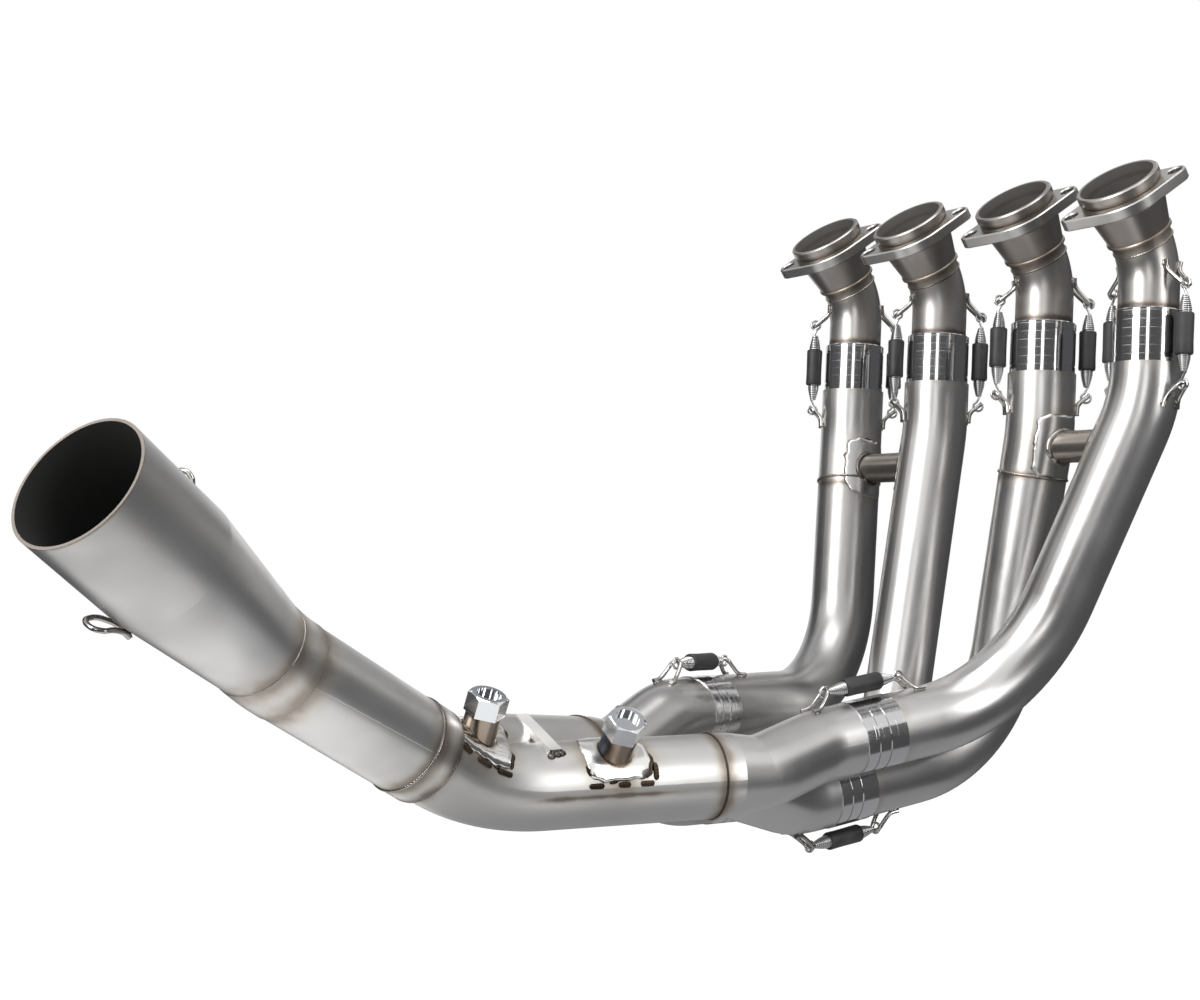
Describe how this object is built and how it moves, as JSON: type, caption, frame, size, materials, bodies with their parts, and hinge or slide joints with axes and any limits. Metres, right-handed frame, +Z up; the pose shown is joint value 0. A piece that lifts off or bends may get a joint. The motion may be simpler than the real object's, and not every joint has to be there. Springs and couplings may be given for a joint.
{
  "type": "exhaust header",
  "caption": "Motorcycle exhaust header with flanged port stubs, spring-held slip joints, swept primary pipes, merging collectors, plugged sensor bungs and a flared tail outlet.",
  "frame": {"origin": "middle of the row of port lips, on the plane of the lip faces", "axes": "+X forward, away from the tail; +Y along the row of ports toward pipe 1; +Z up"},
  "size_m": [0.6895, 0.3114, 0.4137],
  "materials": {
    "collar": "fine turned, lightly heat tinted",
    "flange": "satin",
    "stub": "satin, warm grey",
    "slip_ring": "fine turned, bright",
    "pipe": "satin",
    "collector": "satin",
    "secondary": "satin",
    "tail": "fine matt satin",
    "saddle": "bright with weld tint",
    "bung": "turned, brown heat tint",
    "plug": "bright plated",
    "spring": "bright wire",
    "sleeve": "matt black",
    "hook": "satin"
  },
  "bodies": {
    "root": {"port_collar_1": "collar", "port_flange_1": "flange", "stub_pipe_1": "stub", "upper_slip_ring_1": "slip_ring", "primary_pipe_1": "pipe", "lower_slip_ring_1": "slip_ring", "crossover_saddle_1": "saddle", "springs_pipe_1": "spring", "spring_sleeves_pipe_1": "sleeve", "spring_hooks_pipe_1": "hook", "port_collar_2": "collar", "port_flange_2": "flange", "stub_pipe_2": "stub", "upper_slip_ring_2": "slip_ring", "primary_pipe_2": "pipe", "lower_slip_ring_2": "slip_ring", "crossover_saddle_2": "saddle", "springs_pipe_2": "spring", "spring_sleeves_pipe_2": "sleeve", "spring_hooks_pipe_2": "hook", "port_collar_3": "collar", "port_flange_3": "flange", "stub_pipe_3": "stub", "upper_slip_ring_3": "slip_ring", "primary_pipe_3": "pipe", "lower_slip_ring_3": "slip_ring", "crossover_saddle_3": "saddle", "springs_pipe_3": "spring", "spring_sleeves_pipe_3": "sleeve", "spring_hooks_pipe_3": "hook", "port_collar_4": "collar", "port_flange_4": "flange", "stub_pipe_4": "stub", "upper_slip_ring_4": "slip_ring", "primary_pipe_4": "pipe", "lower_slip_ring_4": "slip_ring", "crossover_saddle_4": "saddle", "springs_pipe_4": "spring", "spring_sleeves_pipe_4": "sleeve", "spring_hooks_pipe_4": "hook", "crossover_tube_12": "pipe", "crossover_tube_34": "pipe", "y_collector_front": "collector", "y_collector_rear": "collector", "secondary_pipe_front": "secondary", "secondary_pipe_rear": "secondary", "merge_ring": "tail", "tail_pipe": "tail", "tail_ring": "tail", "outlet_cone": "tail", "outlet_hooks": "hook", "lambda_bung_front": "bung", "lambda_bung_rear": "bung", "lambda_plug_front": "plug", "lambda_plug_rear": "plug", "lambda_saddle_front": "saddle", "lambda_saddle_rear": "saddle", "secondary_tie_strap": "saddle"}
  },
  "joints": []
}
